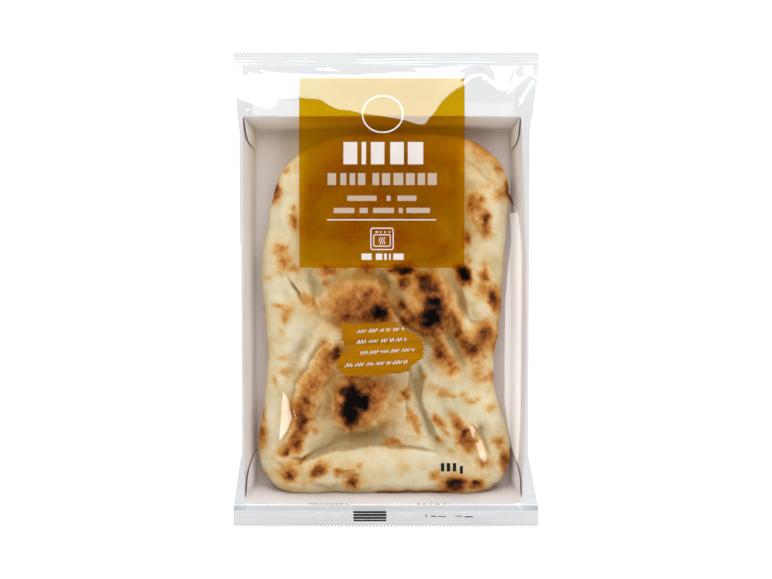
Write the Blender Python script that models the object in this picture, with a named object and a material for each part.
"""A packed pinsa lying on its back, shown side up.

The flatbread lies in a shallow card tray, and both are sealed in a clear film bag with a
flat seal across each end. The bag is a thin shell that is open underneath, where the tray's
base closes it. Length runs along Y, width along X, and the pack rests on Z = 0.
"""
import math

import bmesh
import bpy
import numpy as np

# Bag: a film tube, flattened to a seal at each end
BAG_LENGTH = 0.3648
BAG_HALF_WIDTH = 0.1106
SEAL_HALF_WIDTH = 0.1164
TOP_SEAL_LENGTH = 0.0108
BOTTOM_SEAL_LENGTH = 0.0129
SEAL_HEIGHT = 0.0098
SEAL_THICKNESS = 0.0008
FILM = 0.0006
SIDE_FILM = 0.0008
FLARE_TOP = 0.1310
FLARE_BOTTOM = -0.1460
FLARE_START = 0.0700

# Tray: one card blank, its four walls leaning out
TRAY_CENTRE = (-0.0020, -0.0140)
TRAY_RIM_WIDTH = 0.2140
TRAY_RIM_LENGTH = 0.2972
TRAY_HEIGHT = 0.0250
SIDE_LEAN = 0.0090
END_LEAN = 0.0114
CARD = 0.0008
BOW_RIGHT = 0.0024
BOW_LEFT = 0.0003
TOP_CORNER_RADIUS = 0.0030
BOTTOM_CORNER_RADIUS = 0.0085
TAB_CARD = 0.0006
BASE_CORNER_SHARE = 0.35
CORNER_STEPS = 5
WALL_STEPS = 8

# Height of a corner tab's edge at steps along the side wall, from the corner inwards
TAB_EDGE = ((0.0000, 0.0240), (0.0055, 0.0226), (0.0100, 0.0195), (0.0130, 0.0150), (0.0145, 0.0100))

# Clearance between pieces that touch
GAP = 0.0003

# Pinsa: thick rim, thinner middle, blisters and folds
BREAD_MIDDLE = (-0.0020, -0.0170)
WAIST_HEIGHT = 0.0105
UNDERSIDE_INSET = 0.0080
EDGE_ROUND = 0.0120
MIDDLE_THICKNESS = 0.0135
RIM_RISE = 0.0060
RIM_INSET = 0.0200
RIM_SPREAD = 0.0130
THICKNESS_LIMIT = 0.0276
LIMIT_SOFTNESS = 0.0014
RIPPLE = 0.0005
RIPPLE_ACROSS = 260.0
RIPPLE_ALONG = 210.0
RIPPLE_DRIFT = 140.0
CURVE_STEPS = 24
BREAD_SIDES = 108
BREAD_RINGS = 31

# The pinsa's outline seen from above, clockwise from the middle of its top end
BREAD_OUTLINE = (
    (0.000, 0.120), (0.030, 0.120), (0.058, 0.117), (0.076, 0.108), (0.089, 0.092),
    (0.092, 0.074), (0.089, 0.040), (0.088, 0.010), (0.085, -0.026), (0.0815, -0.050),
    (0.084, -0.076), (0.092, -0.105), (0.094, -0.125), (0.086, -0.142), (0.068, -0.1532),
    (0.028, -0.1525), (-0.008, -0.1537), (-0.036, -0.1525), (-0.060, -0.1537),
    (-0.078, -0.1520), (-0.092, -0.140), (-0.096, -0.120), (-0.092, -0.085),
    (-0.089, -0.045), (-0.094, -0.008), (-0.096, 0.020), (-0.091, 0.055),
    (-0.082, 0.085), (-0.066, 0.104), (-0.036, 0.117),
)

# Blisters: centre x, y, radius across, radius along, turn in degrees, rise
BLISTERS = (
    (-0.019, -0.010, 0.025, 0.017, 0, 0.0080),
    (0.034, -0.014, 0.018, 0.021, 20, 0.0088),
    (-0.020, -0.084, 0.021, 0.022, 0, 0.0090),
    (0.058, -0.112, 0.012, 0.017, 25, 0.0040),
    (0.074, -0.035, 0.013, 0.010, 0, 0.0030),
    (0.072, 0.060, 0.014, 0.016, 0, 0.0022),
    (-0.070, 0.058, 0.010, 0.014, 0, 0.0022),
    (-0.024, 0.062, 0.024, 0.018, 15, 0.0050),
    (0.022, 0.084, 0.022, 0.015, -10, 0.0040),
    (0.030, 0.040, 0.018, 0.013, 30, 0.0050),
)

# Ridges: start x, y, end x, y, half width, rise
RIDGES = (
    (-0.038, -0.042, -0.056, -0.080, 0.0110, 0.0058),
    (-0.056, -0.080, -0.070, -0.122, 0.0105, 0.0046),
    (0.039, 0.008, 0.063, -0.035, 0.0060, 0.0040),
    (0.040, -0.036, 0.048, -0.066, 0.0070, 0.0042),
    (0.048, -0.074, 0.066, -0.092, 0.0130, 0.0040),
    (-0.060, -0.138, 0.060, -0.138, 0.0120, 0.0022),
)

# Grooves: start x, y, end x, y, half width, depth
GROOVES = (
    (-0.073, 0.009, -0.064, -0.010, 0.0026, 0.0032),
    (-0.057, 0.012, -0.051, -0.008, 0.0052, 0.0032),
    (-0.061, -0.036, -0.073, -0.064, 0.0055, 0.0034),
    (0.021, -0.062, 0.027, -0.091, 0.0060, 0.0048),
    (0.027, -0.091, 0.040, -0.122, 0.0042, 0.0042),
    (0.053, -0.004, 0.061, -0.020, 0.0034, 0.0028),
    (0.046, -0.033, 0.060, -0.058, 0.0034, 0.0034),
    (-0.066, -0.131, -0.039, -0.119, 0.0055, 0.0038),
    (-0.039, -0.119, 0.002, -0.113, 0.0075, 0.0034),
    (-0.006, 0.016, 0.006, -0.012, 0.0065, 0.0036),
    (0.070, -0.103, 0.074, -0.111, 0.0034, 0.0018),
    (-0.035, -0.144, -0.020, -0.140, 0.0022, 0.0016),
)

# Print on the film: a tall panel over the pinsa's top half and a brushed patch below it
PANEL_LEFT = -0.0654
PANEL_RIGHT = 0.0592
PANEL_TOP = 0.1618
PANEL_BOTTOM = 0.0188
PRINT_THICKNESS = 0.0003
PATCH_CENTRE = (-0.0045, -0.0450)
PATCH_LENGTH = 0.0660
PATCH_WIDTH = 0.0370
PATCH_TURN = -4.0
PATCH_LIFT = 0.0007
PATCH_CELLS = (12, 5)

# Cells of the film's grid, and how it settles over what it covers
FILM_CELL = 0.0112
SETTLE_STEPS = 900
AIR_LIFT = 0.4


def new_material(name, colour, roughness, alpha=1.0):
    material = bpy.data.materials.new(name)
    material.use_nodes = True
    shader = material.node_tree.nodes["Principled BSDF"]
    shader.inputs["Base Color"].default_value = (*colour, 1.0)
    shader.inputs["Roughness"].default_value = roughness
    shader.inputs["Metallic"].default_value = 0.0
    shader.inputs["Alpha"].default_value = alpha
    return material


def add_object(name, vertices, faces, material, sharp_angle=40.0):
    mesh = bpy.data.meshes.new(name)
    mesh.from_pydata([tuple(float(c) for c in v) for v in vertices], [], faces)
    body = bmesh.new()
    body.from_mesh(mesh)
    bmesh.ops.recalc_face_normals(body, faces=body.faces[:])
    body.to_mesh(mesh)
    body.free()
    mesh.materials.append(material)
    mesh.shade_smooth()
    mesh.set_sharp_from_angle(angle=math.radians(sharp_angle))
    thing = bpy.data.objects.new(name, mesh)
    bpy.context.scene.collection.objects.link(thing)
    return thing


def bridge(lower, upper):
    """Quads between two closed rings of vertex numbers."""
    count = len(lower)
    return [(lower[k], lower[(k + 1) % count], upper[(k + 1) % count], upper[k])
            for k in range(count)]


def smooth_loop(points, count):
    """A closed curve through the points, read at equal steps along its length."""
    points = np.array(points)
    fine = []
    for k in range(len(points)):
        before, start, end, after = (points[(k + j - 1) % len(points)] for j in range(4))
        for t in np.linspace(0.0, 1.0, CURVE_STEPS, endpoint=False):
            fine.append(0.5 * (2 * start + (end - before) * t
                               + (2 * before - 5 * start + 4 * end - after) * t ** 2
                               + (3 * start - before - 3 * end + after) * t ** 3))
    fine = np.array(fine + [fine[0]])
    walked = np.concatenate([[0.0], np.cumsum(np.hypot(*np.diff(fine, axis=0).T))])
    at = np.linspace(0.0, walked[-1], count, endpoint=False)
    return np.column_stack([np.interp(at, walked, fine[:, 0]), np.interp(at, walked, fine[:, 1])])


def distance_to_line(x, y, line):
    """Distance of each place to one straight stretch: start x, y, end x, y."""
    x0, y0, x1, y1 = line
    run_x, run_y = x1 - x0, y1 - y0
    along = ((x - x0) * run_x + (y - y0) * run_y) / (run_x ** 2 + run_y ** 2)
    along = np.clip(along, 0.0, 1.0)
    return np.hypot(x - x0 - along * run_x, y - y0 - along * run_y)


def distance_to_loop(x, y, loop):
    nearest = np.full(np.shape(x), 1.0)
    for k in range(len(loop)):
        stretch = (*loop[k], *loop[(k + 1) % len(loop)])
        nearest = np.minimum(nearest, distance_to_line(x, y, stretch))
    return nearest


def inside_loop(x, y, loop):
    inside = np.zeros(np.shape(x), dtype=bool)
    for k in range(len(loop)):
        x0, y0 = loop[k]
        x1, y1 = loop[(k + 1) % len(loop)]
        if y0 == y1:
            continue
        spans = (y0 > y) != (y1 > y)
        inside ^= spans & (x < x0 + (y - y0) * (x1 - x0) / (y1 - y0))
    return inside


def soft_step(low, high, value):
    t = np.clip((value - low) / (high - low), 0.0, 1.0)
    return t * t * (3.0 - 2.0 * t)


def bread_top(x, y, edge_distance):
    """Height of the pinsa's upper surface above its underside."""
    body = MIDDLE_THICKNESS + RIM_RISE * np.exp(-((edge_distance - RIM_INSET) / RIM_SPREAD) ** 2)
    for blister_x, blister_y, across, along, turn, rise in BLISTERS:
        c, s = math.cos(math.radians(turn)), math.sin(math.radians(turn))
        u = ((x - blister_x) * c + (y - blister_y) * s) / across
        v = ((y - blister_y) * c - (x - blister_x) * s) / along
        body = body + rise * (1.0 - soft_step(0.45, 1.35, np.hypot(u, v)))
    for *line, half_width, rise in RIDGES:
        body = body + rise * np.exp(-(distance_to_line(x, y, line) / half_width) ** 2)
    for *line, half_width, depth in GROOVES:
        body = body - depth * np.exp(-(distance_to_line(x, y, line) / half_width) ** 2)
    drift = 2.0 * np.sin(y * RIPPLE_DRIFT)
    body = body + RIPPLE * np.sin(x * RIPPLE_ACROSS + drift) * np.sin(y * RIPPLE_ALONG)
    below = (THICKNESS_LIMIT - body) / LIMIT_SOFTNESS
    body = THICKNESS_LIMIT - LIMIT_SOFTNESS * np.logaddexp(0.0, below)
    rounded = np.sqrt(1.0 - (1.0 - np.clip(edge_distance / EDGE_ROUND, 0.0, 1.0)) ** 2)
    return WAIST_HEIGHT + (body - WAIST_HEIGHT) * rounded


def make_pinsa():
    """The bread as rings: underside, rounded side, then up and in to the middle."""
    loop = smooth_loop(BREAD_OUTLINE, BREAD_SIDES)
    middle = np.array(BREAD_MIDDLE)
    tangent = np.roll(loop, -1, axis=0) - np.roll(loop, 1, axis=0)
    inward = np.column_stack([tangent[:, 1], -tangent[:, 0]])
    inward /= np.hypot(*inward.T)[:, None]
    base = CARD + GAP
    rings = []
    for turn in (90.0, 55.0, 25.0, 0.0):
        inset = UNDERSIDE_INSET * (1.0 - math.cos(math.radians(turn)))
        height = base + WAIST_HEIGHT * (1.0 - math.sin(math.radians(turn)))
        rings.append(np.column_stack([loop + inward * inset, np.full(len(loop), height)]))
    for k in range(1, BREAD_RINGS):
        shrink = 1.0 - (k / BREAD_RINGS) ** 1.25
        ring = middle + (loop - middle) * shrink
        distance = distance_to_loop(ring[:, 0], ring[:, 1], loop)
        rings.append(np.column_stack([ring, base + bread_top(ring[:, 0], ring[:, 1], distance)]))
    distance = distance_to_loop(middle[:1], middle[1:], loop)
    summit = (*middle, base + bread_top(middle[:1], middle[1:], distance)[0])
    vertices = np.vstack(rings + [np.array([summit])])
    numbers = [list(range(k * BREAD_SIDES, (k + 1) * BREAD_SIDES)) for k in range(len(rings))]
    faces = [tuple(numbers[0])]
    for lower, upper in zip(numbers, numbers[1:]):
        faces += bridge(lower, upper)
    last = len(vertices) - 1
    faces += [(numbers[-1][k], numbers[-1][(k + 1) % BREAD_SIDES], last) for k in range(BREAD_SIDES)]
    crust = new_material("crust", (0.72, 0.55, 0.30), 0.75)
    return add_object("pinsa", vertices, faces, crust, 60.0)


def tray_ring(rise, inset):
    """One level of the tray's wall: rise 0 at the base and 1 at the rim."""
    half_x = TRAY_RIM_WIDTH / 2 - SIDE_LEAN * (1.0 - rise) - inset
    half_y = TRAY_RIM_LENGTH / 2 - END_LEAN * (1.0 - rise) - inset
    corners = ((1, -1, BOTTOM_CORNER_RADIUS, -90), (1, 1, TOP_CORNER_RADIUS, 0),
               (-1, 1, TOP_CORNER_RADIUS, 90), (-1, -1, BOTTOM_CORNER_RADIUS, 180))
    arcs = []
    for side_x, side_y, radius, start in corners:
        radius = radius * (BASE_CORNER_SHARE + (1.0 - BASE_CORNER_SHARE) * rise) - inset
        angles = np.radians(np.linspace(start, start + 90, CORNER_STEPS + 1))
        arcs.append(np.column_stack([side_x * (half_x - radius) + radius * np.cos(angles),
                                     side_y * (half_y - radius) + radius * np.sin(angles)]))
    steps = np.linspace(0.0, 1.0, WALL_STEPS + 1)[1:-1, None]
    stretches = [arc[-1] + (arcs[(k + 1) % 4][0] - arc[-1]) * steps for k, arc in enumerate(arcs)]
    ring = np.vstack([piece for pair in zip(arcs, stretches) for piece in pair])
    belly = 1.0 - np.clip(ring[:, 1] / half_y, -1, 1) ** 2
    bow = np.where(ring[:, 0] > half_x * 0.97, BOW_RIGHT, 0.0)
    bow = bow - np.where(ring[:, 0] < -half_x * 0.97, BOW_LEFT, 0.0)
    ring[:, 0] += bow * belly * rise
    return ring + np.array(TRAY_CENTRE)


def make_tab(side_x, side_y, corner_radius, material):
    """A glue tab: the end wall's flap, folded round the corner onto the side wall's inside."""
    vertices = []
    for step, top in TAB_EDGE:
        along = TRAY_RIM_LENGTH / 2 - END_LEAN / 2 - corner_radius - step
        foot = CARD * 1.5
        in_wall = CARD * 0.5
        for height, deep in ((foot, -TAB_CARD), (top, -TAB_CARD), (top, in_wall), (foot, in_wall)):
            rise = height / TRAY_HEIGHT
            bow = (BOW_RIGHT if side_x > 0 else BOW_LEFT) * rise
            bow *= 1.0 - (along / (TRAY_RIM_LENGTH / 2 - END_LEAN * (1.0 - rise))) ** 2
            wall = TRAY_RIM_WIDTH / 2 - SIDE_LEAN * (1.0 - rise) - CARD + bow
            vertices.append((TRAY_CENTRE[0] + side_x * (wall + deep),
                             TRAY_CENTRE[1] + side_y * along, height))
    rings = [list(range(4 * k, 4 * k + 4)) for k in range(len(TAB_EDGE))]
    faces = [tuple(rings[0]), tuple(rings[-1])]
    for lower, upper in zip(rings, rings[1:]):
        faces += bridge(lower, upper)
    return add_object("tab", vertices, faces, material)


def make_tray():
    card = new_material("card", (0.80, 0.76, 0.73), 0.65)
    levels = ((0.0, 0.0, 0.0), (1.0, 0.0, TRAY_HEIGHT), (1.0, CARD, TRAY_HEIGHT),
              (CARD / TRAY_HEIGHT, CARD, CARD))
    rings = []
    for rise, inset, height in levels:
        ring = tray_ring(rise, inset)
        rings.append(np.column_stack([ring, np.full(len(ring), height)]))
    count = len(rings[0])
    numbers = [list(range(k * count, (k + 1) * count)) for k in range(len(rings))]
    faces = [tuple(numbers[0]), tuple(numbers[-1])]
    for lower, upper in zip(numbers, numbers[1:]):
        faces += bridge(lower, upper)
    tray = add_object("tray", np.vstack(rings), faces, card)
    for side_x in (-1, 1):
        for side_y, radius in ((-1, BOTTOM_CORNER_RADIUS), (1, TOP_CORNER_RADIUS)):
            tab = make_tab(side_x, side_y, radius, card)
            union = tray.modifiers.new("tab", "BOOLEAN")
            union.operation = "UNION"
            union.object = tab
            tab.hide_render = True
            tab.display_type = "WIRE"
    return tray


def half_width(y):
    top = soft_ramp(y, FLARE_TOP, BAG_LENGTH / 2)
    bottom = soft_ramp(-y, -FLARE_BOTTOM, BAG_LENGTH / 2)
    return BAG_HALF_WIDTH + (SEAL_HALF_WIDTH - BAG_HALF_WIDTH) * np.maximum(top, bottom)


def soft_ramp(value, low, high):
    return np.clip((value - low) / (high - low), 0.0, 1.0)


def cells_between(start, end):
    """Grid lines from start up to, but not including, end."""
    return list(np.linspace(start, end, max(1, round((end - start) / FILM_CELL)) + 1)[:-1])


class Film:
    """The bag's grid: columns across X, rows along Y, upper and lower film heights."""

    def __init__(self):
        rim_x = TRAY_RIM_WIDTH / 2
        rim_y = TRAY_RIM_LENGTH / 2
        base_left = TRAY_CENTRE[0] - rim_x + SIDE_LEAN - GAP - SIDE_FILM
        base_right = TRAY_CENTRE[0] + rim_x - SIDE_LEAN + GAP + SIDE_FILM
        base_low = TRAY_CENTRE[1] - rim_y + END_LEAN - GAP - SIDE_FILM
        base_high = TRAY_CENTRE[1] + rim_y - END_LEAN + GAP + SIDE_FILM
        rim_low = TRAY_CENTRE[1] - rim_y
        rim_high = TRAY_CENTRE[1] + rim_y
        seal_low = -BAG_LENGTH / 2 + BOTTOM_SEAL_LENGTH
        seal_high = BAG_LENGTH / 2 - TOP_SEAL_LENGTH
        columns = [-BAG_HALF_WIDTH, (base_left - BAG_HALF_WIDTH) / 2]
        columns += cells_between(base_left, PANEL_LEFT) + cells_between(PANEL_LEFT, PANEL_RIGHT)
        columns += cells_between(PANEL_RIGHT, base_right)
        columns += [base_right, (base_right + BAG_HALF_WIDTH) / 2, BAG_HALF_WIDTH]
        rows = [-BAG_LENGTH / 2, seal_low, rim_low - FILM, rim_low + 2.5 * FILM]
        rows += cells_between(base_low, PANEL_BOTTOM) + cells_between(PANEL_BOTTOM, base_high)
        rows += [base_high, rim_high - 2.5 * FILM] + cells_between(rim_high + FILM, PANEL_TOP)
        rows += [PANEL_TOP, seal_high, BAG_LENGTH / 2]
        self.columns = np.array(columns)
        self.rows = np.array(rows)
        self.first = columns.index(base_left)
        self.last = columns.index(base_right)
        self.low = rows.index(base_low)
        self.high = rows.index(base_high)
        across, along = np.meshgrid(self.columns, self.rows, indexing="ij")
        widen = half_width(along) - BAG_HALF_WIDTH
        share = soft_ramp(np.abs(across), FLARE_START, BAG_HALF_WIDTH)
        self.x = across + np.sign(across) * widen * share
        self.y = along
        rim_drop = np.maximum(soft_ramp(along, rim_high + FILM, seal_high),
                              soft_ramp(-along, -(rim_low - FILM), -seal_low))
        fold = TRAY_HEIGHT + GAP + FILM / 2
        self.fold = fold + (SEAL_HEIGHT - fold) * rim_drop
        self.upper = self.settle(rim_low, rim_high)
        self.lower = self.underside(seal_low, seal_high)

    def settle(self, rim_low, rim_high):
        """Upper film: stretched from edge to edge, over the rim and the bread's top."""
        start = self.fold + FILM / 2
        start[:, [0, 1, -2, -1]] = SEAL_HEIGHT + SEAL_THICKNESS / 2
        rest = np.zeros_like(start)
        on_rim = (self.rows > rim_low - 2 * FILM) & (self.rows < rim_high + 2 * FILM)
        rim_rest = TRAY_HEIGHT + GAP + FILM
        for column in (1, -2):
            rest[column, on_rim] = rim_rest
        for row in np.flatnonzero(on_rim)[[0, 1, -2, -1]]:
            rest[1:-1, row] = rim_rest
        rest = np.maximum(rest, self.bread_below() + GAP + FILM)
        left, right = np.diff(self.columns)[:-1, None], np.diff(self.columns)[1:, None]
        near, far = np.diff(self.rows)[None, :-1], np.diff(self.rows)[None, 1:]
        weights = [2 / (left * (left + right)), 2 / (right * (left + right)),
                   2 / (near * (near + far)), 2 / (far * (near + far))]
        total = sum(weights)
        height = start.copy()
        for _ in range(SETTLE_STEPS):
            pulled = (weights[0] * height[:-2, 1:-1] + weights[1] * height[2:, 1:-1]
                      + weights[2] * height[1:-1, :-2] + weights[3] * height[1:-1, 2:] + AIR_LIFT) / total
            height[1:-1, 1:-1] = np.maximum(pulled, rest[1:-1, 1:-1])
            height[:, [1, -2]] = start[:, [1, -2]]
        return height

    def bread_below(self):
        """Highest bread within a cell of each grid place."""
        loop = smooth_loop(BREAD_OUTLINE, 2 * BREAD_SIDES)
        reach = np.linspace(-FILM_CELL, FILM_CELL, 7)
        highest = np.zeros_like(self.x)
        for step_x in reach:
            for step_y in reach:
                x, y = self.x + step_x, self.y + step_y
                top = CARD + GAP + bread_top(x, y, distance_to_loop(x, y, loop))
                highest = np.maximum(highest, np.where(inside_loop(x, y, loop), top, 0.0))
        return highest

    def underside(self, seal_low, seal_high):
        """Lower film: flat under the tray, up its side walls, and up to the seals."""
        rows, columns = self.rows, self.columns
        lift = np.maximum(soft_ramp(rows, rows[self.high], seal_high),
                          soft_ramp(-rows, -rows[self.low], -seal_low))
        base = (SEAL_HEIGHT - SEAL_THICKNESS / 2) * lift[None, :]
        up_wall = np.maximum(soft_ramp(-columns, -columns[self.first], BAG_HALF_WIDTH),
                             soft_ramp(columns, columns[self.last], BAG_HALF_WIDTH))[:, None]
        thickness = FILM + (SEAL_THICKNESS - FILM) * lift[None, :]
        edge = self.fold - thickness / 2
        edge[:, [0, 1, -2, -1]] = SEAL_HEIGHT - SEAL_THICKNESS / 2
        return base + (edge - base) * up_wall

    def height_at(self, x, y):
        """Upper film's height at any place, read between the grid's lines."""
        i = np.clip(np.searchsorted(self.columns, x) - 1, 0, len(self.columns) - 2)
        j = np.clip(np.searchsorted(self.rows, y) - 1, 0, len(self.rows) - 2)
        u = (x - self.columns[i]) / (self.columns[i + 1] - self.columns[i])
        v = (y - self.rows[j]) / (self.rows[j + 1] - self.rows[j])
        z = self.upper
        return ((1 - u) * (1 - v) * z[i, j] + u * (1 - v) * z[i + 1, j]
                + (1 - u) * v * z[i, j + 1] + u * v * z[i + 1, j + 1])


def grid_faces(numbers, keep=None):
    faces = []
    for i in range(numbers.shape[0] - 1):
        for j in range(numbers.shape[1] - 1):
            if keep is None or keep(i, j):
                faces.append((numbers[i, j], numbers[i + 1, j], numbers[i + 1, j + 1], numbers[i, j + 1]))
    return faces


def rim_of(numbers):
    """Vertex numbers round the edge of a grid."""
    return (list(numbers[:, 0]) + list(numbers[-1, 1:]) + list(numbers[-2::-1, -1])
            + list(numbers[0, -2:0:-1]))


def make_bag(film):
    """Outer film and inner film, joined round the opening under the tray."""
    shape = film.x.shape
    count = shape[0] * shape[1]
    numbers = np.arange(count).reshape(shape)
    outer_top = numbers
    outer_low = numbers + count
    inner_top = numbers + 2 * count
    inner_low = numbers + 3 * count
    first, last, low, high = film.first, film.last, film.low, film.high

    def outside_opening(i, j):
        return not (first <= i < last and low <= j < high)

    side = np.zeros(shape)
    side[:first + 1] = SIDE_FILM
    side[last:] = -SIDE_FILM
    inner_x = film.x + side
    inner_low_z = film.lower.copy()
    inner_low_z[:, :low] += FILM
    inner_low_z[:, high + 1:] += FILM
    inner_y = film.y.copy()
    inner_y[first:last + 1, low] += SIDE_FILM
    inner_y[first:last + 1, high] -= SIDE_FILM
    inner_top_z = film.upper - FILM
    top_y = film.y.copy()
    for row, step in ((1, 1), (-2, -1)):
        for y in (inner_y, top_y):
            y[:, row] += step * 2 * FILM
        inner_low_z[:, row] = SEAL_HEIGHT
        inner_top_z[:, row] = SEAL_HEIGHT
    inner_low_z[[0, -1]] = film.fold[[0, -1]]
    inner_low_z[np.ix_([0, -1], [1, -2])] = SEAL_HEIGHT

    # The inner films share their outermost vertices
    inner_top[[0, -1], :] = inner_low[[0, -1], :]
    inner_top[:, [1, -2]] = inner_low[:, [1, -2]]
    vertices = np.vstack([
        np.column_stack([film.x.ravel(), film.y.ravel(), film.upper.ravel()]),
        np.column_stack([film.x.ravel(), film.y.ravel(), film.lower.ravel()]),
        np.column_stack([inner_x.ravel(), top_y.ravel(), inner_top_z.ravel()]),
        np.column_stack([inner_x.ravel(), inner_y.ravel(), inner_low_z.ravel()]),
    ])
    faces = grid_faces(outer_top) + grid_faces(outer_low, outside_opening)
    faces += bridge(rim_of(outer_top), rim_of(outer_low))
    faces += grid_faces(inner_top[:, 1:-1])
    faces += grid_faces(inner_low[:, 1:-1], lambda i, j: outside_opening(i, j + 1))
    opening = np.s_[first:last + 1, low:high + 1]
    faces += bridge(rim_of(outer_low[opening]), rim_of(inner_low[opening]))
    used = sorted({int(v) for face in faces for v in face})
    place = {v: k for k, v in enumerate(used)}
    faces = [tuple(place[int(v)] for v in face) for face in faces]
    clear_film = new_material("clear_film", (0.93, 0.94, 0.95), 0.12, 0.25)
    return add_object("bag", vertices[used], faces, clear_film, 50.0)


def add_skin(name, x, y, z, material):
    """A thin printed layer over a grid of places, its lower face at z."""
    count = x.size
    lower = np.arange(count).reshape(x.shape)
    upper = lower + count
    vertices = np.vstack([np.column_stack([x.ravel(), y.ravel(), z.ravel()]),
                          np.column_stack([x.ravel(), y.ravel(), z.ravel() + PRINT_THICKNESS])])
    faces = grid_faces(lower) + grid_faces(upper) + bridge(rim_of(lower), rim_of(upper))
    faces = [tuple(int(v) for v in face) for face in faces]
    return add_object(name, vertices, faces, material)


def make_print_panel(film):
    gold = new_material("gold_print", (0.42, 0.22, 0.005), 0.35, 0.85)
    i0, i1 = (int(np.argmin(np.abs(film.columns - edge))) for edge in (PANEL_LEFT, PANEL_RIGHT))
    j0, j1 = (int(np.argmin(np.abs(film.rows - edge))) for edge in (PANEL_BOTTOM, PANEL_TOP))
    part = np.s_[i0:i1 + 1, j0:j1 + 1]
    x = film.x[part]
    return add_skin("print_panel", x, film.y[part], film.upper[part] + GAP, gold)


def make_print_patch(film):
    """A patch like one broad brush stroke, with ragged ends."""
    ochre = new_material("ochre_print", (0.50, 0.27, 0.005), 0.35, 0.9)
    u, v = np.meshgrid(np.linspace(-1, 1, PATCH_CELLS[0] + 1), np.linspace(-1, 1, PATCH_CELLS[1] + 1),
                       indexing="ij")
    ragged = u * (1.0 + 0.045 * np.sin(4.2 * v + 0.8 * u) - 0.02 * v * v)
    along = ragged * PATCH_LENGTH / 2
    across = v * PATCH_WIDTH / 2 * (1.0 - 0.16 * u ** 4) + 0.0015 * np.sin(3.0 * u + 0.5)
    turn = math.radians(PATCH_TURN)
    x = PATCH_CENTRE[0] + along * math.cos(turn) - across * math.sin(turn)
    y = PATCH_CENTRE[1] + along * math.sin(turn) + across * math.cos(turn)
    return add_skin("print_patch", x, y, film.height_at(x, y) + PATCH_LIFT, ochre)


def main():
    for thing in list(bpy.data.objects):
        bpy.data.objects.remove(thing, do_unlink=True)
    film = Film()
    make_tray()
    make_pinsa()
    make_bag(film)
    make_print_panel(film)
    make_print_patch(film)


main()
